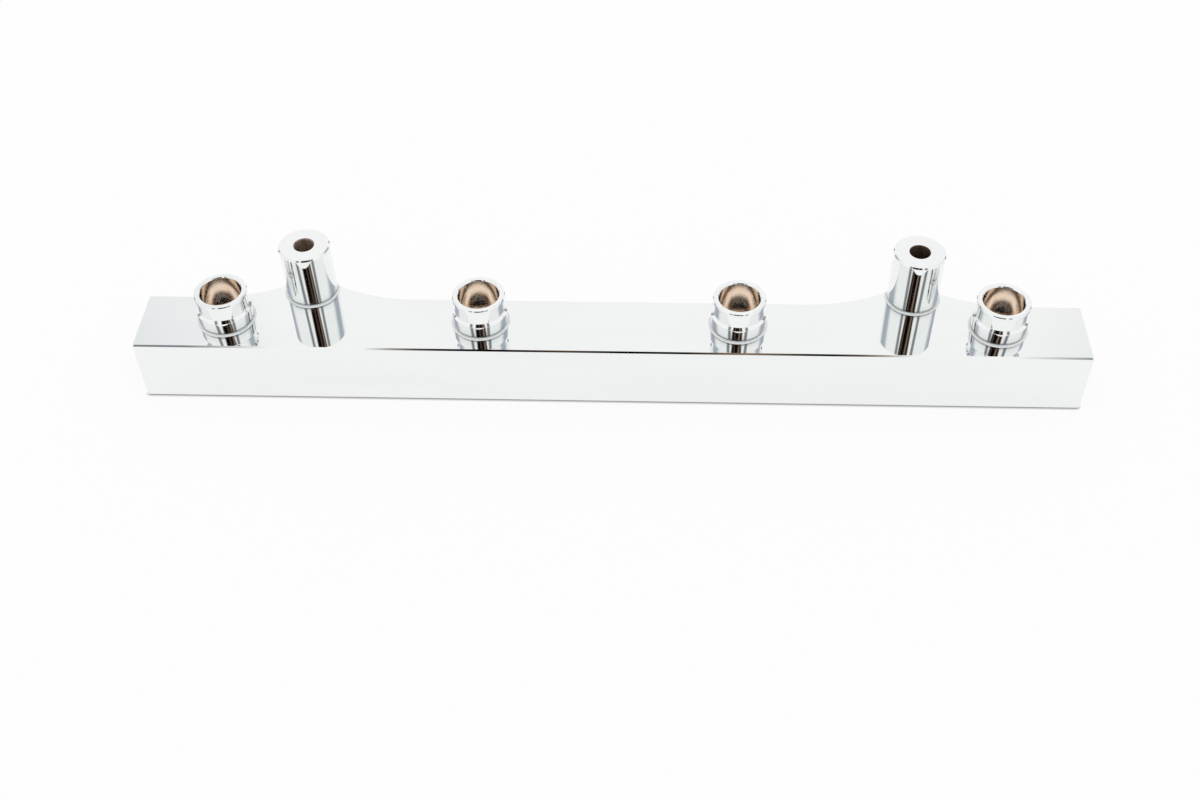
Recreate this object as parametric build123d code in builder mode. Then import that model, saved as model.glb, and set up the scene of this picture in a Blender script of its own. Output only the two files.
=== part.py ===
from build123d import *
import math
import os

# Fuel rail for a row of four cylinders: a billet bar with two mounting lugs, four turned
# injector cups and two turned mounting posts. All sizes are in millimetres.
#
# Frame: the origin is at the centre of the bar's underside, +X runs along the bar,
# +Y points towards the mounting lugs and +Z up through the injector cups.

# Bar
bar_length = 331.0
bar_depth = 26.0
bar_height = 24.6
corner_chamfer = 0.6  # the four upright corners
edge_chamfer = 0.5  # round the top and round the underside

# Fuel gallery, with a threaded port at each end
gallery_diameter = 12.0
port_thread_diameter = 19.05  # 3/4 inch, 16 threads to the inch
port_thread_pitch = 25.4 / 16
port_thread_depth = 15.0
port_seat_chamfer = 1.4  # conical seat of the sealing ring, round the mouth
port_drill_angle = 118.0

# Row of injector cups
cup_count = 4
cup_spacing = 90.0  # bore spacing of the engine
cup_row_offset = 2.0  # from the middle of the bar towards the lugs

# Injector cup, outside
cup_height = 12.5  # above the bar
lip_diameter = 18.4
lip_thickness = 1.1
lip_chamfer = 0.3
neck_diameter = 17.3
neck_root_fillet = 0.4
shoulder_angle = 48.0  # of the cone between neck and collar, from level
collar_diameter = 19.2
collar_height = 5.3
cup_foot_rounding = 0.55
cup_spigot_diameter = 16.8
cup_spigot_length = 5.0

# Injector cup, inside
cup_bore_diameter = 14.2
cup_bore_depth = 14.0  # below the lip
cup_bore_lead_in = 0.3
cup_drill_angle = 140.0
feed_hole_diameter = 5.0

# Mounting posts
post_spacing = 214.0
post_offset = 4.0  # from the back face of the bar to the axis of a post
post_diameter = 18.1
post_height = 21.0
post_top_chamfer = 0.5
post_foot_rounding = 0.6
post_spigot_diameter = 12.0
post_spigot_length = 3.0

# Mounting lugs
lug_radius = 9.5
lug_flare_radius = 60.0  # hollow flare between lug and back face
lug_flare_angle = 18.0  # where the flare meets the lug, up from the lug's middle
lug_root_fillet = 3.0

# Mounting screw, put in from the underside
screw_hole_diameter = 6.8
screw_hole_chamfer = 0.3
screw_head_diameter = 11.0
screw_head_depth = 6.5

# Fit of a turned spigot in its bored seat
spigot_clearance = 0.05  # on the radius
spigot_end_gap = 0.3
spigot_chamfer = 0.4

# Places and radii that follow from the sizes above
gallery_height = bar_height / 2
port_bore_radius = (port_thread_diameter - port_thread_pitch) / 2
post_y = bar_depth / 2 + post_offset
post_places = {"left": (-post_spacing / 2, post_y), "right": (post_spacing / 2, post_y)}
first_cup_x = -cup_spacing * (cup_count - 1) / 2
cup_places = [(first_cup_x + index * cup_spacing, cup_row_offset) for index in range(cup_count)]


def lug_flare(post_x):
    """Plan of the metal between the bar's back face and the hollow arcs up to one lug."""
    angle = math.radians(lug_flare_angle)
    root_x = lug_radius * math.cos(angle)
    root_rise = post_offset + lug_radius * math.sin(angle)
    arc_reach = math.sqrt(lug_flare_radius**2 - (lug_flare_radius - root_rise) ** 2)
    back_y = bar_depth / 2
    right_foot = (post_x + root_x + arc_reach, back_y)
    right_root = (post_x + root_x, back_y + root_rise)
    left_root = (post_x - root_x, back_y + root_rise)
    left_foot = (post_x - root_x - arc_reach, back_y)
    with BuildSketch() as flare:
        with BuildLine():
            Line(left_foot, right_foot)
            RadiusArc(right_foot, right_root, lug_flare_radius)
            Line(right_root, left_root)
            RadiusArc(left_root, left_foot, lug_flare_radius)
        make_face()
    return flare.sketch


def make_bar():
    """Billet bar: lugs, gallery, ports, cup seats, feed holes and screw holes."""
    bar_end = bar_length / 2
    thread_end = bar_end - port_thread_depth
    gallery_radius = gallery_diameter / 2
    cone_length = (port_bore_radius - gallery_radius) / math.tan(math.radians(port_drill_angle / 2))

    with BuildPart() as bar:
        with BuildSketch() as outline:
            Rectangle(bar_length, bar_depth)
            with Locations(*post_places.values()):
                Circle(lug_radius)
            for post_x, _ in post_places.values():
                add(lug_flare(post_x))
            lug_roots = outline.vertices().group_by(Axis.Y)[-1]
            fillet(lug_roots, lug_root_fillet)
        extrude(amount=bar_height)
        upright_edges = bar.edges().filter_by(Axis.Z).group_by(Axis.X)
        chamfer(upright_edges[0] + upright_edges[-1], corner_chamfer)
        chamfer(bar.faces().filter_by(Axis.Z).edges(), edge_chamfer)

        with BuildSketch(Plane((0, 0, gallery_height), (1, 0, 0), (0, -1, 0))):
            with BuildLine():
                Polyline(
                    (0, 0),
                    (bar_end, 0),
                    (bar_end, port_bore_radius + port_seat_chamfer),
                    (bar_end - port_seat_chamfer, port_bore_radius),
                    (thread_end, port_bore_radius),
                    (thread_end - cone_length, gallery_radius),
                    (0, gallery_radius),
                    close=True,
                )
            make_face()
            mirror(about=Plane.YZ)
        revolve(axis=Axis((0, 0, gallery_height), (1, 0, 0)), mode=Mode.SUBTRACT)

        with Locations(*[(x, y, bar_height) for x, y in cup_places]):
            CounterBoreHole(
                radius=feed_hole_diameter / 2,
                counter_bore_radius=cup_spigot_diameter / 2 + spigot_clearance,
                counter_bore_depth=cup_spigot_length + spigot_end_gap,
                depth=bar_height - gallery_height,
            )
        with Locations(*[(x, y, bar_height) for x, y in post_places.values()]):
            CounterBoreHole(
                radius=screw_hole_diameter / 2,
                counter_bore_radius=post_spigot_diameter / 2 + spigot_clearance,
                counter_bore_depth=post_spigot_length + spigot_end_gap,
                depth=bar_height,
            )
        with Locations(*[Location((x, y, 0), (180, 0, 0)) for x, y in post_places.values()]):
            CounterBoreHole(
                radius=screw_hole_diameter / 2,
                counter_bore_radius=screw_head_diameter / 2,
                counter_bore_depth=screw_head_depth,
                depth=bar_height,
            )
    return bar


def make_cup(x, y):
    """Turned injector cup: lip, neck, shoulder, collar, foot and spigot round one bore."""
    lip_radius = lip_diameter / 2
    neck_radius = neck_diameter / 2
    collar_radius = collar_diameter / 2
    spigot_radius = cup_spigot_diameter / 2
    bore_radius = cup_bore_diameter / 2
    feed_radius = feed_hole_diameter / 2
    shoulder_rise = (collar_radius - neck_radius) * math.tan(math.radians(shoulder_angle))
    lip_base = cup_height - lip_thickness
    bore_floor = cup_height - cup_bore_depth
    floor_drop = (bore_radius - feed_radius) / math.tan(math.radians(cup_drill_angle / 2))
    foot_corner = (collar_radius, 0)
    neck_root = (neck_radius, collar_height + shoulder_rise)

    with BuildPart() as cup:
        with BuildSketch(Plane((x, y, bar_height), (1, 0, 0), (0, -1, 0))) as section:
            with BuildLine():
                Polyline(
                    (feed_radius, -cup_spigot_length),
                    (spigot_radius - spigot_chamfer, -cup_spigot_length),
                    (spigot_radius, spigot_chamfer - cup_spigot_length),
                    (spigot_radius, 0),
                    foot_corner,
                    (collar_radius, collar_height),
                    neck_root,
                    (neck_radius, lip_base - (lip_radius - neck_radius)),
                    (lip_radius, lip_base),
                    (lip_radius, cup_height - lip_chamfer),
                    (lip_radius - lip_chamfer, cup_height),
                    (bore_radius + cup_bore_lead_in, cup_height),
                    (bore_radius, cup_height - cup_bore_lead_in),
                    (bore_radius, bore_floor),
                    (feed_radius, bore_floor - floor_drop),
                    close=True,
                )
            make_face()
            fillet(section.vertices().sort_by_distance((*neck_root, 0))[0], neck_root_fillet)
            fillet(section.vertices().sort_by_distance((*foot_corner, 0))[0], cup_foot_rounding)
        revolve(axis=Axis((x, y, 0), (0, 0, 1)))
    return cup


def make_post(x, y):
    """Turned mounting post with its screw hole, seated in a lug by a spigot."""
    post_radius = post_diameter / 2
    spigot_radius = post_spigot_diameter / 2
    hole_radius = screw_hole_diameter / 2
    foot_corner = (post_radius, 0)

    with BuildPart() as post:
        with BuildSketch(Plane((x, y, bar_height), (1, 0, 0), (0, -1, 0))) as section:
            with BuildLine():
                Polyline(
                    (hole_radius, -post_spigot_length),
                    (spigot_radius - spigot_chamfer, -post_spigot_length),
                    (spigot_radius, spigot_chamfer - post_spigot_length),
                    (spigot_radius, 0),
                    foot_corner,
                    (post_radius, post_height - post_top_chamfer),
                    (post_radius - post_top_chamfer, post_height),
                    (hole_radius + screw_hole_chamfer, post_height),
                    (hole_radius, post_height - screw_hole_chamfer),
                    close=True,
                )
            make_face()
            fillet(section.vertices().sort_by_distance((*foot_corner, 0))[0], post_foot_rounding)
        revolve(axis=Axis((x, y, 0), (0, 0, 1)))
    return post


def write_piece(builder, name):
    """Label a finished piece and write it as its own file."""
    builder.part.label = name
    export_step(builder.part, f"parts/{name}.step")


os.makedirs("parts", exist_ok=True)
write_piece(make_bar(), "rail_bar")
for number, (x, y) in enumerate(cup_places, start=1):
    write_piece(make_cup(x, y), f"injector_cup_{number}")
for side, (x, y) in post_places.items():
    write_piece(make_post(x, y), f"mounting_post_{side}")
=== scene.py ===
import bmesh
import bpy
import math
from mathutils import Matrix, Vector


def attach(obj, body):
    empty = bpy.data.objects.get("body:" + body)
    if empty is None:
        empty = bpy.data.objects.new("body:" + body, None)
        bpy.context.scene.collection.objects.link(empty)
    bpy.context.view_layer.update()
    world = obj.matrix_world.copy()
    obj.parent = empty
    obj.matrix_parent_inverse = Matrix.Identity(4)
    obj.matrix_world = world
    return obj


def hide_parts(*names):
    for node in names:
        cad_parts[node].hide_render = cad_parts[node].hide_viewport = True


# Dressed model of a fuel rail: a bright-plated bar with turned injector cups and mounting posts.
# The pieces are made in the frame of the solids, in metres. Sizes below are in millimetres, but for
# those of the studio.

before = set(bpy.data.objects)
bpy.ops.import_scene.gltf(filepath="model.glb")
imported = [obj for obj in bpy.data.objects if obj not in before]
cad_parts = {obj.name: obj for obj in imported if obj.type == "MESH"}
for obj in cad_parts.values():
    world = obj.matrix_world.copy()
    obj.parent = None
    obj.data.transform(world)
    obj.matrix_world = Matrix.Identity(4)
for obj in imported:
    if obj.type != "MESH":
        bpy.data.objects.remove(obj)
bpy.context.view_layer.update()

MM = 0.001
TURN_STEPS = 144  # facets round a turned piece
FACE_SLACK = 0.1  # a face is sorted by its middle, which may lie this far off its true radius or height

BAR_TOP = 24.6
GALLERY_HEIGHT = 12.3
BAR_END = 165.5

CUP_ROW_Y = 2.0
CUP_X = {1: -135.0, 2: -45.0, 3: 45.0, 4: 135.0}
POST_Y = 17.0
POST_X = {"left": -107.0, "right": 107.0}

# Injector cup: radii, and heights above the bar
CUP_HEIGHT = 12.5
LIP_RADIUS = 9.2
LIP_BASE = 11.4
LIP_CHAMFER = 0.3  # outside and into the bore
NECK_RADIUS = 8.65
NECK_BASE = 6.355
NECK_ROOT_ROUNDING = 0.15
COLLAR_RADIUS = 9.6
COLLAR_HEIGHT = 5.3
CUP_FOOT_ROUNDING = 0.55
CUP_SPIGOT_RADIUS = 8.4
CUP_SPIGOT_LENGTH = 5.0
BORE_RADIUS = 7.1
BORE_FLOOR = -1.5
FEED_RADIUS = 2.5
FEED_TOP = -3.174  # where the conical floor meets the feed hole
FLOOR_SHADE_START = -3.2  # painted shade darkens the bore's floor round the feed hole, from here up to its rim

# Mounting post
POST_HEIGHT = 21.0
POST_RADIUS = 9.05
POST_TOP_CHAMFER = 0.5
POST_FOOT_ROUNDING = 0.6
POST_SPIGOT_RADIUS = 6.0
POST_SPIGOT_LENGTH = 3.0
HOLE_RADIUS = 3.4
HOLE_CHAMFER = 0.3

SPIGOT_CHAMFER = 0.4
CORNER_WEAR = {"cup": 0.05, "post": 0.06}  # radius worn on every machined corner

# Finish, painted highlight and painted shade where a turned piece meets the bar
RING_WIDTH = 0.75  # satin, matt white ring on the bar round each foot: a painted highlight
RING_FADE = 0.15
RING_STRETCH = 40.0  # height counts this many times in the distance to a foot
SATIN_BAR = 0.45  # roughness added on the ring
SATIN_FOOT = 0.35  # roughness added at the foot of a turned piece
FOOT_REACH = 4.0  # height above the bar over which a foot is hazy and carries a band of painted shade
CUP_HAZE = 0.45  # share of that height at which the haze has thinned out
POST_HAZE = {"left": 0.8, "right": 0.45}
# brown of the bare metal, darkened by painted shade inside each hole, the right one much more
HOLE_TINT_AND_SHADE = {
    "left": [(0.3, "#CDB8AB"), (0.7, "#A69182")],
    "right": [(0.3, "#7A675A"), (0.7, "#5E4C40")],
}

# Port thread, 3/4 inch by 16 to the inch
THREAD_CREST = 8.731  # radius of the drilled wall
THREAD_ROOT = 9.4
THREAD_PITCH = 25.4 / 16
THREAD_START = 150.5  # distance from the middle of the bar
THREAD_MOUTH = 164.1
THREAD_STEPS = 72  # facets in one turn
CREST_FLAT = 0.15
ROOT_FLAT = 0.2
WALL_SLACK = 0.15  # tells the faces of the drilled wall from their neighbours
SEAT_REACH = 1.45  # the sealing seat spreads this far past the drilled wall
END_SLACK = 0.01  # keeps the flat ends of the bar out of the bored metal

# Studio, in metres
TABLE_HALF = 3.0
TABLE_SHADOW = 1.0 * MM  # only this much of the table, under the bar's edge, goes dark
TABLE_WHITE = 0.9  # share of its own even white, so that it reads as a seamless ground
GAP_RADIUS = 2.6
GAP_HEIGHT = 0.3


# ---------------------------------------------------------------- colour and nodes


def linear(code):
    """An sRGB hex colour as linear RGBA."""
    values = [int(code[i : i + 2], 16) / 255 for i in (1, 3, 5)]
    curve = [v / 12.92 if v <= 0.04045 else ((v + 0.055) / 1.055) ** 2.4 for v in values]
    return (*curve, 1.0)


def add_node(tree, kind, settings=None, values=None, links=None):
    """Adds a node with its settings, its unlinked values and the sockets that feed it."""
    node = tree.nodes.new(kind)
    for key, value in (settings or {}).items():
        setattr(node, key, value)
    for key, value in (values or {}).items():
        node.inputs[key].default_value = value
    for key, source in (links or {}).items():
        tree.links.new(source, node.inputs[key])
    return node


def new_material(name):
    """An empty node material with its output, as (material, tree, output)."""
    material = bpy.data.materials.new(name)
    material.use_nodes = True
    tree = material.node_tree
    tree.nodes.clear()
    return material, tree, add_node(tree, "ShaderNodeOutputMaterial")


def ramp(tree, source, stops):
    """A colour ramp over a value, from (place, hex colour) stops."""
    node = add_node(tree, "ShaderNodeValToRGB", links={"Fac": source})
    elements = node.color_ramp.elements
    while len(elements) < len(stops):
        elements.new(0.5)
    for element, (place, code) in zip(elements, stops):
        element.position = place
        element.color = linear(code)
    return node.outputs["Color"]


# ---------------------------------------------------------------- finishes


def seat_rings(tree, place):
    """1 on the narrow matt white ring round each turned piece's foot, a painted highlight that stands in for
    a bright fillet, 0 elsewhere.
    """
    # height is stretched, so that only the flat top of the bar lies within a ring
    tall = add_node(
        tree, "ShaderNodeMapping", values={"Scale": (1.0, 1.0, RING_STRETCH)}, links={"Vector": place}
    )
    seats = [(x, CUP_ROW_Y, COLLAR_RADIUS) for x in CUP_X.values()]
    seats += [(x, POST_Y, POST_RADIUS) for x in POST_X.values()]
    satin_highlight = None
    for x, y, foot_radius in seats:
        edge = foot_radius + RING_WIDTH
        away = add_node(
            tree,
            "ShaderNodeVectorMath",
            settings={"operation": "DISTANCE"},
            values={1: (x * MM, y * MM, BAR_TOP * RING_STRETCH * MM)},
            links={0: tall.outputs[0]},
        )
        ring = add_node(
            tree,
            "ShaderNodeMapRange",
            values={"From Min": edge * MM, "From Max": (edge - RING_FADE) * MM},
            links={"Value": away.outputs["Value"]},
        ).outputs[0]
        if satin_highlight is None:
            satin_highlight = ring
        else:
            satin_highlight = add_node(
                tree, "ShaderNodeMath", settings={"operation": "MAXIMUM"}, links={0: satin_highlight, 1: ring}
            ).outputs[0]
    return satin_highlight


def bright_plate():
    """Polished bright plate over a milled bar: a mirror, faintly wavy, with satin matt white rings round the
    feet as painted highlights.
    """
    material, tree, output = new_material("polished bright plate")
    place = add_node(tree, "ShaderNodeTexCoord").outputs["Object"]
    # polishing waves some 40 mm long, so straight reflections are not dead straight
    wave = add_node(
        tree, "ShaderNodeTexNoise", values={"Scale": 25.0, "Detail": 1.0}, links={"Vector": place}
    )
    # buffing haze: soft clouds drawn out along the bar, 60 mm by 12 mm
    stretch = add_node(
        tree, "ShaderNodeMapping", values={"Scale": (16.0, 85.0, 85.0)}, links={"Vector": place}
    )
    haze = add_node(
        tree, "ShaderNodeTexNoise", values={"Scale": 1.0, "Detail": 3.0}, links={"Vector": stretch.outputs[0]}
    )
    tint = ramp(tree, haze.outputs["Fac"], [(0.35, "#F3F5F4"), (0.7, "#F1F3F2")])
    polish = add_node(
        tree,
        "ShaderNodeMapRange",
        values={"From Min": 0.35, "From Max": 0.75, "To Min": 0.02, "To Max": 0.035},
        links={"Value": haze.outputs["Fac"]},
    )
    relief = add_node(
        tree,
        "ShaderNodeBump",
        values={"Strength": 0.04, "Distance": 0.0004},
        links={"Height": wave.outputs["Fac"]},
    )
    satin_highlight = seat_rings(tree, place)
    grain = add_node(
        tree,
        "ShaderNodeMath",
        settings={"operation": "MULTIPLY_ADD"},
        values={1: SATIN_BAR},
        links={0: satin_highlight, 2: polish.outputs[0]},
    )
    # on the ring the plate loses its metal and turns matt white: a painted highlight where a bright fillet
    # would shine
    mirror = add_node(
        tree, "ShaderNodeMath", settings={"operation": "SUBTRACT"}, values={0: 1.0}, links={1: satin_highlight}
    )
    shader = add_node(
        tree,
        "ShaderNodeBsdfPrincipled",
        links={
            "Base Color": tint,
            "Metallic": mirror.outputs[0],
            "Roughness": grain.outputs[0],
            "Normal": relief.outputs["Normal"],
        },
    )
    tree.links.new(shader.outputs[0], output.inputs["Surface"])
    return material


def turned_finish(name, stops, rough, groove_depth, groove_mm, spread=0.0, by_height=None):
    """A lathe-turned metal with rings of tool marks; by_height gives (low, high, shade, haze) on a span."""
    material, tree, output = new_material(name)
    place = add_node(tree, "ShaderNodeTexCoord").outputs["Object"]
    # real tool marks are too fine to draw, so the rings are set groove_mm apart
    rings = add_node(
        tree,
        "ShaderNodeTexNoise",
        settings={"noise_dimensions": "1D"},
        values={"Scale": 1.0, "Detail": 2.0},
    )
    height = add_node(tree, "ShaderNodeSeparateXYZ", links={"Vector": place}).outputs["Z"]
    level = add_node(
        tree,
        "ShaderNodeMath",
        settings={"operation": "MULTIPLY"},
        values={1: 1.0 / (groove_mm * MM)},
        links={0: height},
    )
    tree.links.new(level.outputs[0], rings.inputs["W"])
    # slow change of colour round the wall, about 5 mm across
    stain = add_node(
        tree, "ShaderNodeTexNoise", values={"Scale": 200.0, "Detail": 2.0}, links={"Vector": place}
    )
    tint = ramp(tree, stain.outputs["Fac"], stops)
    polish = add_node(
        tree,
        "ShaderNodeMapRange",
        values={"From Min": 0.3, "From Max": 0.7, "To Min": rough[0], "To Max": rough[1]},
        links={"Value": rings.outputs["Fac"]},
    )
    if by_height:
        low, high, shade, haze = by_height
        rise = add_node(
            tree,
            "ShaderNodeMapRange",
            values={"From Min": (BAR_TOP + low) * MM, "From Max": (BAR_TOP + high) * MM},
            links={"Value": height},
        ).outputs[0]
        # the colours of a mix node are its sockets 6 and 7, and come out of socket 2
        # the shade ramp darkens the tint: painted shade, at a turned foot or deep in a bore
        shaded = add_node(
            tree,
            "ShaderNodeMix",
            settings={"data_type": "RGBA", "blend_type": "MULTIPLY"},
            values={0: 1.0},
            links={6: tint, 7: ramp(tree, rise, shade)},
        )
        tint = shaded.outputs[2]
        cloud = ramp(tree, rise, haze)
        polish = add_node(
            tree,
            "ShaderNodeMath",
            settings={"operation": "MULTIPLY_ADD"},
            values={1: SATIN_FOOT},
            links={0: cloud, 2: polish.outputs[0]},
        )
    relief = add_node(
        tree,
        "ShaderNodeBump",
        values={"Strength": 0.5, "Distance": groove_depth * MM},
        links={"Height": rings.outputs["Fac"]},
    )
    upright = add_node(tree, "ShaderNodeCombineXYZ", values={"Z": 1.0})
    shader = add_node(
        tree,
        "ShaderNodeBsdfPrincipled",
        values={"Metallic": 1.0, "Anisotropic": spread},
        links={
            "Base Color": tint,
            "Roughness": polish.outputs[0],
            "Normal": relief.outputs["Normal"],
            "Tangent": upright.outputs[0],
        },
    )
    if by_height:
        # where the haze is full the plate is frosted, and no longer a mirror; at a turned foot this matt
        # white is a painted highlight
        frosted_highlight = add_node(
            tree,
            "ShaderNodeMapRange",
            values={"From Min": 1.0, "From Max": 0.6},
            links={"Value": cloud},
        )
        tree.links.new(frosted_highlight.outputs[0], shader.inputs["Metallic"])
    tree.links.new(shader.outputs[0], output.inputs["Surface"])
    return material


def turned_plate(haze_end):
    """Bright plate over a turned outside: a mirror with a matt white foot as a painted highlight, and a band
    of painted shade just above it where the foot meets the bar.
    """
    # painted shade: a grey band about 0.6 to 1.2 mm above the bar, where the crevice at the foot darkens the
    # wall
    shade = [
        (0.0, "#FFFFFF"),
        (0.12, "#FFFFFF"),
        (0.16, "#B0B3B8"),
        (0.29, "#B0B3B8"),
        (0.4, "#F4F4F4"),
        (1.0, "#FFFFFF"),
    ]
    haze = [(0.0, "#FFFFFF"), (0.12, "#FFFFFF"), (0.17, "#9A9A9A"), (haze_end, "#4A4A4A"), (1.0, "#000000")]
    return turned_finish(
        "turned bright plate",
        [(0.3, "#F4F6F5"), (0.7, "#F1F3F2")],
        (0.02, 0.05),
        0.001,
        0.5,
        by_height=(0.0, FOOT_REACH, shade, haze),
    )


def satin_bore():
    """Reamed bore under thin plate: a soft mirror with a warm cast, with painted shade darkening its floor
    round the feed hole.
    """
    # painted shade: the floor goes near black round the feed hole, deep in the bore
    shade = [(0.0, "#1A140F"), (0.2, "#5E4E42"), (0.42, "#FFFFFF"), (1.0, "#FFFFFF")]
    no_haze = [(0.0, "#000000"), (1.0, "#000000")]
    return turned_finish(
        "reamed plated bore",
        [(0.3, "#FFF6EC"), (0.7, "#FCF1E5")],
        (0.15, 0.19),
        0.0,
        0.4,
        by_height=(FLOOR_SHADE_START, BORE_FLOOR, shade, no_haze),
    )


def drilled_hole(stops):
    """Drilled hole left bare: dull, brownish, with coarse drill rings; its colours also carry painted shade.
    """
    return turned_finish("bare drilled hole", stops, (0.45, 0.6), 0.01, 0.7, spread=0.8)


def tapped_metal():
    """Tapped thread under thin plate: bright flanks with a slightly torn, duller grain."""
    material, tree, output = new_material("tapped bright metal")
    place = add_node(tree, "ShaderNodeTexCoord").outputs["Object"]
    # torn grain of a tap, about 0.6 mm
    grain = add_node(
        tree, "ShaderNodeTexNoise", values={"Scale": 1600.0, "Detail": 3.0}, links={"Vector": place}
    )
    tint = ramp(tree, grain.outputs["Fac"], [(0.3, "#DADCE0"), (0.7, "#C2C5CB")])
    polish = add_node(
        tree,
        "ShaderNodeMapRange",
        values={"From Min": 0.3, "From Max": 0.7, "To Min": 0.12, "To Max": 0.28},
        links={"Value": grain.outputs["Fac"]},
    )
    shader = add_node(
        tree,
        "ShaderNodeBsdfPrincipled",
        values={"Metallic": 1.0},
        links={"Base Color": tint, "Roughness": polish.outputs[0]},
    )
    tree.links.new(shader.outputs[0], output.inputs["Surface"])
    return material


# ---------------------------------------------------------------- mesh


def finish_piece(name, bm, materials, sharp_degrees=22.0):
    """Turns a bmesh in metres into a piece that rides on the rail, smooth but for its real corners."""
    mesh = bpy.data.meshes.new(name)
    bm.to_mesh(mesh)
    bm.free()
    for material in materials:
        mesh.materials.append(material)
    mesh.shade_smooth()
    mesh.set_sharp_from_angle(angle=math.radians(sharp_degrees))
    piece = bpy.data.objects.new(name, mesh)
    bpy.context.scene.collection.objects.link(piece)
    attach(piece, "root")
    return piece


def spin_profile(points, x, y, z, rounding=()):
    """A closed turned solid from (radius, height) points; rounding gives (point number, radius)."""
    bm = bmesh.new()
    ring = [bm.verts.new((r, 0.0, h)) for r, h in points]
    for first, second in zip(ring, ring[1:] + ring[:1]):
        bm.edges.new((first, second))
    for number, size in rounding:
        bmesh.ops.bevel(
            bm,
            geom=[ring[number]],
            offset=size,
            segments=5,
            profile=0.5,
            affect="VERTICES",
            material=-1,
        )
    bmesh.ops.spin(
        bm,
        geom=bm.verts[:] + bm.edges[:],
        cent=(0, 0, 0),
        axis=(0, 0, 1),
        angle=2 * math.pi,
        steps=TURN_STEPS,
        use_merge=True,
    )
    bmesh.ops.remove_doubles(bm, verts=bm.verts[:], dist=0.0005)
    bmesh.ops.recalc_face_normals(bm, faces=bm.faces[:])
    bmesh.ops.scale(bm, vec=(MM, MM, MM), verts=bm.verts[:])
    bmesh.ops.translate(bm, vec=(x * MM, y * MM, z * MM), verts=bm.verts[:])
    return bm


def soften_corners(piece, width):
    """The tiny worn radius that catches light along a machined corner."""
    corner = piece.modifiers.new("machined corner", "BEVEL")
    corner.width = width * MM
    corner.segments = 3
    corner.limit_method = "ANGLE"
    corner.angle_limit = math.radians(25)
    corner.harden_normals = False


def radius_from(centre, point):
    """Distance in millimetres from an upright axis."""
    return math.hypot(point.x / MM - centre[0], point.y / MM - centre[1])


def make_cup(number, finishes):
    """Injector cup: lip, neck, shoulder and collar round one plated bore."""
    centre = (CUP_X[number], CUP_ROW_Y)
    outline = [
        (FEED_RADIUS, -CUP_SPIGOT_LENGTH),
        (CUP_SPIGOT_RADIUS - SPIGOT_CHAMFER, -CUP_SPIGOT_LENGTH),
        (CUP_SPIGOT_RADIUS, SPIGOT_CHAMFER - CUP_SPIGOT_LENGTH),
        (CUP_SPIGOT_RADIUS, 0.0),
        (COLLAR_RADIUS, 0.0),
        (COLLAR_RADIUS, COLLAR_HEIGHT),
        (NECK_RADIUS, NECK_BASE),
        (NECK_RADIUS, LIP_BASE - (LIP_RADIUS - NECK_RADIUS)),
        (LIP_RADIUS, LIP_BASE),
        (LIP_RADIUS, CUP_HEIGHT - LIP_CHAMFER),
        (LIP_RADIUS - LIP_CHAMFER, CUP_HEIGHT),
        (BORE_RADIUS + LIP_CHAMFER, CUP_HEIGHT),
        (BORE_RADIUS, CUP_HEIGHT - LIP_CHAMFER),
        (BORE_RADIUS, BORE_FLOOR),
        (FEED_RADIUS, FEED_TOP),
    ]
    rounding = [(4, CUP_FOOT_ROUNDING), (6, NECK_ROOT_ROUNDING)]
    bm = spin_profile(outline, *centre, BAR_TOP, rounding)
    for face in bm.faces:
        spot = face.calc_center_median()
        above_feed = spot.z > (BAR_TOP + FEED_TOP - FACE_SLACK) * MM
        inside = radius_from(centre, spot) < BORE_RADIUS + FACE_SLACK
        face.material_index = 1 if inside and above_feed else 0
    piece = finish_piece(f"turned_cup_{number}", bm, finishes)
    soften_corners(piece, CORNER_WEAR["cup"])
    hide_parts(f"injector_cup_{number}")


def make_post(side):
    """Mounting post: plain turned stand-off with a chamfered top and a bare screw hole."""
    centre = (POST_X[side], POST_Y)
    outline = [
        (HOLE_RADIUS, -POST_SPIGOT_LENGTH),
        (POST_SPIGOT_RADIUS - SPIGOT_CHAMFER, -POST_SPIGOT_LENGTH),
        (POST_SPIGOT_RADIUS, SPIGOT_CHAMFER - POST_SPIGOT_LENGTH),
        (POST_SPIGOT_RADIUS, 0.0),
        (POST_RADIUS, 0.0),
        (POST_RADIUS, POST_HEIGHT - POST_TOP_CHAMFER),
        (POST_RADIUS - POST_TOP_CHAMFER, POST_HEIGHT),
        (HOLE_RADIUS + HOLE_CHAMFER, POST_HEIGHT),
        (HOLE_RADIUS, POST_HEIGHT - HOLE_CHAMFER),
    ]
    bm = spin_profile(outline, *centre, BAR_TOP, [(4, POST_FOOT_ROUNDING)])
    for face in bm.faces:
        in_hole = radius_from(centre, face.calc_center_median()) < HOLE_RADIUS + HOLE_CHAMFER - FACE_SLACK
        face.material_index = 1 if in_hole else 0
    finishes = [turned_plate(POST_HAZE[side]), drilled_hole(HOLE_TINT_AND_SHADE[side])]
    piece = finish_piece(f"turned_post_{side}", bm, finishes)
    soften_corners(piece, CORNER_WEAR["post"])
    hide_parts(f"mounting_post_{side}")


def in_port(point):
    """Whether a point lies on the plain drilled wall that the thread takes the place of."""
    reach = math.hypot(point.y / MM, point.z / MM - GALLERY_HEIGHT)
    along = abs(point.x) / MM
    return THREAD_START < along < THREAD_MOUTH and abs(reach - THREAD_CREST) < WALL_SLACK


def in_bore(point):
    """Whether a point lies on the gallery, its drill cones or the seats at its mouths."""
    reach = math.hypot(point.y / MM, point.z / MM - GALLERY_HEIGHT)
    return reach < THREAD_CREST + SEAT_REACH and abs(point.x) / MM < BAR_END - END_SLACK


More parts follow.
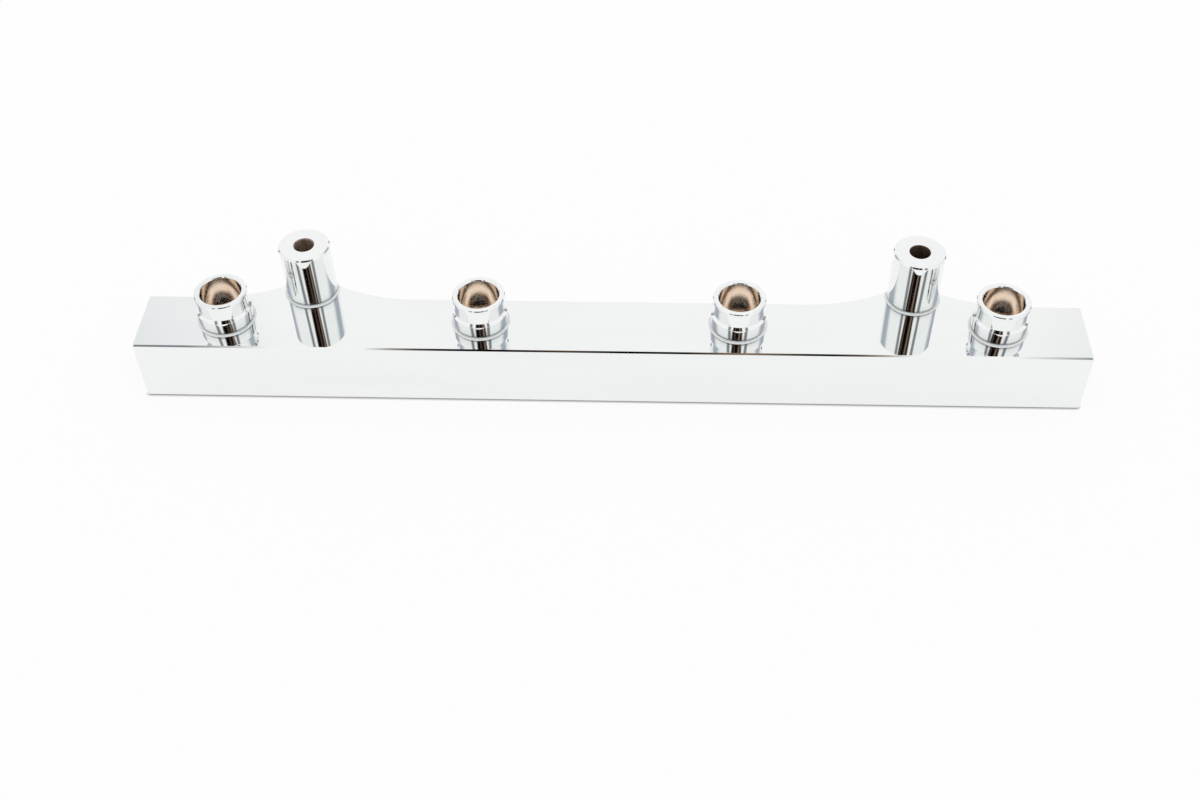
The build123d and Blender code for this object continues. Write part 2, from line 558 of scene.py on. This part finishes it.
def make_bar():
    """The bar with its lugs, gallery and screw holes, smooth over its curved faces."""
    bm = bmesh.new()
    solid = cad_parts["rail_bar"].data.copy()
    # the stored normals belong to loose triangles, and would bend the flat faces once merged
    solid.attributes.remove(solid.attributes["custom_normal"])
    bm.from_mesh(solid)
    bpy.data.meshes.remove(solid)
    bmesh.ops.remove_doubles(bm, verts=bm.verts[:], dist=0.001 * MM)
    walls = [face for face in bm.faces if in_port(face.calc_center_median())]
    bmesh.ops.delete(bm, geom=walls, context="FACES")
    for face in bm.faces:
        face.material_index = 1 if in_bore(face.calc_center_median()) else 0
    piece = finish_piece("plated_bar", bm, [bright_plate(), tapped_metal()])
    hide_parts("rail_bar")


def make_thread(side, sign):
    """The tapped wall of one end port, as one helical groove."""
    turns = math.ceil((THREAD_MOUTH - THREAD_START) / THREAD_PITCH)
    flank = (THREAD_PITCH - CREST_FLAT - ROOT_FLAT) / 2
    bm = bmesh.new()
    section = [
        (0.0, THREAD_CREST),
        (CREST_FLAT, THREAD_CREST),
        (CREST_FLAT + flank, THREAD_ROOT),
        (CREST_FLAT + flank + ROOT_FLAT, THREAD_ROOT),
        (THREAD_PITCH, THREAD_CREST),
    ]
    tooth = [bm.verts.new((along, radius, 0.0)) for along, radius in section]
    for first, second in zip(tooth, tooth[1:]):
        bm.edges.new((first, second))
    bmesh.ops.spin(
        bm,
        geom=bm.verts[:] + bm.edges[:],
        cent=(0, 0, 0),
        axis=(1, 0, 0),
        dvec=(THREAD_PITCH / THREAD_STEPS, 0, 0),
        angle=2 * math.pi * turns,
        steps=THREAD_STEPS * turns,
    )
    bmesh.ops.remove_doubles(bm, verts=bm.verts[:], dist=0.002)
    bmesh.ops.translate(bm, vec=(THREAD_START - THREAD_PITCH, 0, 0), verts=bm.verts[:])
    for edge_x, outward in ((THREAD_START, -1), (THREAD_MOUTH, 1)):
        bmesh.ops.bisect_plane(
            bm,
            geom=bm.verts[:] + bm.edges[:] + bm.faces[:],
            plane_co=(edge_x, 0, 0),
            plane_no=(outward, 0, 0),
            clear_outer=True,
        )
    for face in bm.faces:
        spot = face.calc_center_median()
        inward = Vector((0.0, -spot.y, -spot.z))
        if face.normal.dot(inward) < 0:
            face.normal_flip()
    if sign < 0:
        turn = Matrix.Rotation(math.pi, 4, "Z")
        bmesh.ops.transform(bm, matrix=turn, verts=bm.verts[:])
    bmesh.ops.translate(bm, vec=(0, 0, GALLERY_HEIGHT), verts=bm.verts[:])
    bmesh.ops.scale(bm, vec=(MM, MM, MM), verts=bm.verts[:])
    finish_piece(f"port_thread_{side}", bm, [tapped_metal()], sharp_degrees=40.0)


# ---------------------------------------------------------------- studio


def make_floor():
    """Seamless white table: it stays white to the lens and in the plate, with a slight soft shadow."""
    bm = bmesh.new()
    bmesh.ops.create_grid(bm, x_segments=1, y_segments=1, size=TABLE_HALF)
    mesh = bpy.data.meshes.new("white_table")
    bm.to_mesh(mesh)
    bm.free()
    material, tree, output = new_material("matt white table")
    diffuse = add_node(tree, "ShaderNodeBsdfDiffuse", values={"Color": linear("#FCFCFC")})
    contact = add_node(tree, "ShaderNodeAmbientOcclusion", values={"Distance": TABLE_SHADOW})
    glow = add_node(
        tree,
        "ShaderNodeEmission",
        values={"Color": linear("#FEFEFE")},
        links={"Strength": contact.outputs["AO"]},
    )
    rays = add_node(tree, "ShaderNodeLightPath")
    seen = rays.outputs["Is Camera Ray"]
    for kind in ("Is Glossy Ray", "Is Transmission Ray"):
        seen = add_node(
            tree, "ShaderNodeMath", settings={"operation": "MAXIMUM"}, links={0: seen, 1: rays.outputs[kind]}
        ).outputs[0]
    share = add_node(
        tree, "ShaderNodeMath", settings={"operation": "MULTIPLY"}, values={1: TABLE_WHITE}, links={0: seen}
    )
    mixed = add_node(
        tree,
        "ShaderNodeMixShader",
        links={0: share.outputs[0], 1: diffuse.outputs[0], 2: glow.outputs[0]},
    )
    tree.links.new(mixed.outputs[0], output.inputs["Surface"])
    mesh.materials.append(material)
    floor = bpy.data.objects.new("white_table", mesh)
    bpy.context.scene.collection.objects.link(floor)


def card_finish(name, stops, cover):
    """A card's colours across its width, and how much of it covers the tent behind, by place."""
    material, tree, output = new_material(name)
    across = add_node(
        tree, "ShaderNodeSeparateXYZ", links={"Vector": add_node(tree, "ShaderNodeUVMap").outputs["UV"]}
    ).outputs["X"]
    paint = add_node(tree, "ShaderNodeEmission", links={"Color": ramp(tree, across, stops)})
    clear = add_node(tree, "ShaderNodeBsdfTransparent")
    mixed = add_node(
        tree,
        "ShaderNodeMixShader",
        links={0: ramp(tree, across, cover), 1: clear.outputs[0], 2: paint.outputs[0]},
    )
    tree.links.new(mixed.outputs[0], output.inputs["Surface"])
    return material


def make_card(name, width, height, distance, bearing, elevation, material):
    """A flat card that faces the rail, in metres and degrees; bearing 0 is in front, and grows to +X."""
    bm = bmesh.new()
    bmesh.ops.create_grid(bm, x_segments=1, y_segments=1, size=0.5, calc_uvs=False)
    layer = bm.loops.layers.uv.new("UVMap")
    for face in bm.faces:
        for corner in face.loops:
            corner[layer].uv = (corner.vert.co.x + 0.5, corner.vert.co.y + 0.5)
    bmesh.ops.scale(bm, vec=(width, height, 1.0), verts=bm.verts[:])
    tilt = Matrix.Rotation(math.radians(90 - elevation), 4, "X")
    reach = Matrix.Translation((0.0, -distance * math.cos(math.radians(elevation)), 0.0))
    lift = Matrix.Translation((0.0, 0.0, distance * math.sin(math.radians(elevation))))
    turn = Matrix.Rotation(math.radians(bearing), 4, "Z")
    bmesh.ops.transform(bm, matrix=turn @ reach @ lift @ tilt, verts=bm.verts[:])
    mesh = bpy.data.meshes.new(name)
    bm.to_mesh(mesh)
    bm.free()
    mesh.materials.append(material)
    card = bpy.data.objects.new(name, mesh)
    bpy.context.scene.collection.objects.link(card)
    card.visible_camera = False
    card.visible_diffuse = False
    card.visible_shadow = False


def make_cards():
    """What bright metal shows of the room: the dark stand behind the lens and the edges of the tent."""
    whole = [(0.0, "#FFFFFF"), (1.0, "#FFFFFF")]
    narrow = [(0.0, "#000000"), (0.5, "#FFFFFF"), (1.0, "#000000")]
    soft = [(0.0, "#000000"), (0.3, "#FFFFFF"), (0.7, "#FFFFFF"), (1.0, "#000000")]
    faded = [
        (0.0, "#000000"),
        (0.14, "#898989"),
        (0.32, "#FFFFFF"),
        (0.68, "#FFFFFF"),
        (0.86, "#898989"),
        (1.0, "#000000"),
    ]
    body = [
        (0.0, "#F4F4F4"),
        (0.045, "#A8A19B"),
        (0.09, "#5A504A"),
        (0.14, "#0A0808"),
        (0.86, "#0A0808"),
        (0.91, "#5A504A"),
        (0.955, "#A8A19B"),
        (1.0, "#F4F4F4"),
    ]
    make_card("dark_stand", 0.49, 0.54, 0.849, 0.0, 45.0, card_finish("dark stand", body, whole))
    dim = card_finish("dim tan patch", [(0.0, "#54463C"), (1.0, "#54463C")], narrow)
    warm = card_finish("warm tan patch", [(0.0, "#8E7A68"), (1.0, "#8E7A68")], narrow)
    make_card("patch_left", 0.07, 0.3, 0.552, -6.7, 45.0, dim)
    make_card("patch_right", 0.095, 0.3, 0.687, 10.8, 45.0, warm)
    seam = card_finish("tent opening edge", [(0.0, "#85888C"), (1.0, "#85888C")], soft)
    side = card_finish("shaded tent side", [(0.0, "#B2B8C4"), (1.0, "#B2B8C4")], faded)
    for sign in (-1, 1):
        make_card(f"tent_edge_{sign}", 0.30, 0.75, 1.334, sign * 35.3, 45.0, seam)
        make_card(f"tent_side_{sign}", 1.8, 1.8, 2.0, sign * 124.0, 42.0, side)


def make_horizon():
    """The grey gap between table and tent, which draws a thin line along every rounded corner."""
    bm = bmesh.new()
    bmesh.ops.create_circle(bm, segments=64, radius=GAP_RADIUS)
    rim = bmesh.ops.extrude_edge_only(bm, edges=bm.edges[:])
    tops = [part for part in rim["geom"] if isinstance(part, bmesh.types.BMVert)]
    bmesh.ops.translate(bm, vec=(0, 0, GAP_HEIGHT), verts=tops)
    mesh = bpy.data.meshes.new("tent_gap")
    bm.to_mesh(mesh)
    bm.free()
    material, tree, output = new_material("grey tent gap")
    shader = add_node(tree, "ShaderNodeEmission", values={"Color": linear("#A8A8A8")})
    tree.links.new(shader.outputs[0], output.inputs["Surface"])
    mesh.materials.append(material)
    gap = bpy.data.objects.new("tent_gap", mesh)
    bpy.context.scene.collection.objects.link(gap)
    gap.visible_camera = False
    gap.visible_diffuse = False
    gap.visible_shadow = False


def make_world():
    """Even white light all round, as in a light tent."""
    world = bpy.data.worlds.new("white tent")
    world.use_nodes = True
    tree = world.node_tree
    tree.nodes.clear()
    output = add_node(tree, "ShaderNodeOutputWorld")
    light = add_node(tree, "ShaderNodeBackground", values={"Color": linear("#FEFEFE"), "Strength": 1.0})
    tree.links.new(light.outputs[0], output.inputs["Surface"])
    bpy.context.scene.world = world


def make_camera():
    """The camera, above and in front of the rail, looking down at 46 degrees."""
    lens = bpy.data.cameras.new("camera")
    lens.sensor_width = 36.0
    lens.lens = 44.363
    lens.clip_start = 0.01
    camera = bpy.data.objects.new("camera", lens)
    camera.location = (0.015526, -0.376040, 0.379061)
    camera.rotation_euler = (0.765479, 0.015077, 0.035241)
    bpy.context.scene.collection.objects.link(camera)
    bpy.context.scene.camera = camera


make_bar()
cup_finishes = [turned_plate(CUP_HAZE), satin_bore()]
for cup_number in CUP_X:
    make_cup(cup_number, cup_finishes)
for post_side in POST_X:
    make_post(post_side)
for port_side, port_sign in (("left", -1), ("right", 1)):
    make_thread(port_side, port_sign)
make_floor()
make_cards()
make_horizon()
make_world()
make_camera()
bpy.context.scene.view_settings.view_transform = "Standard"
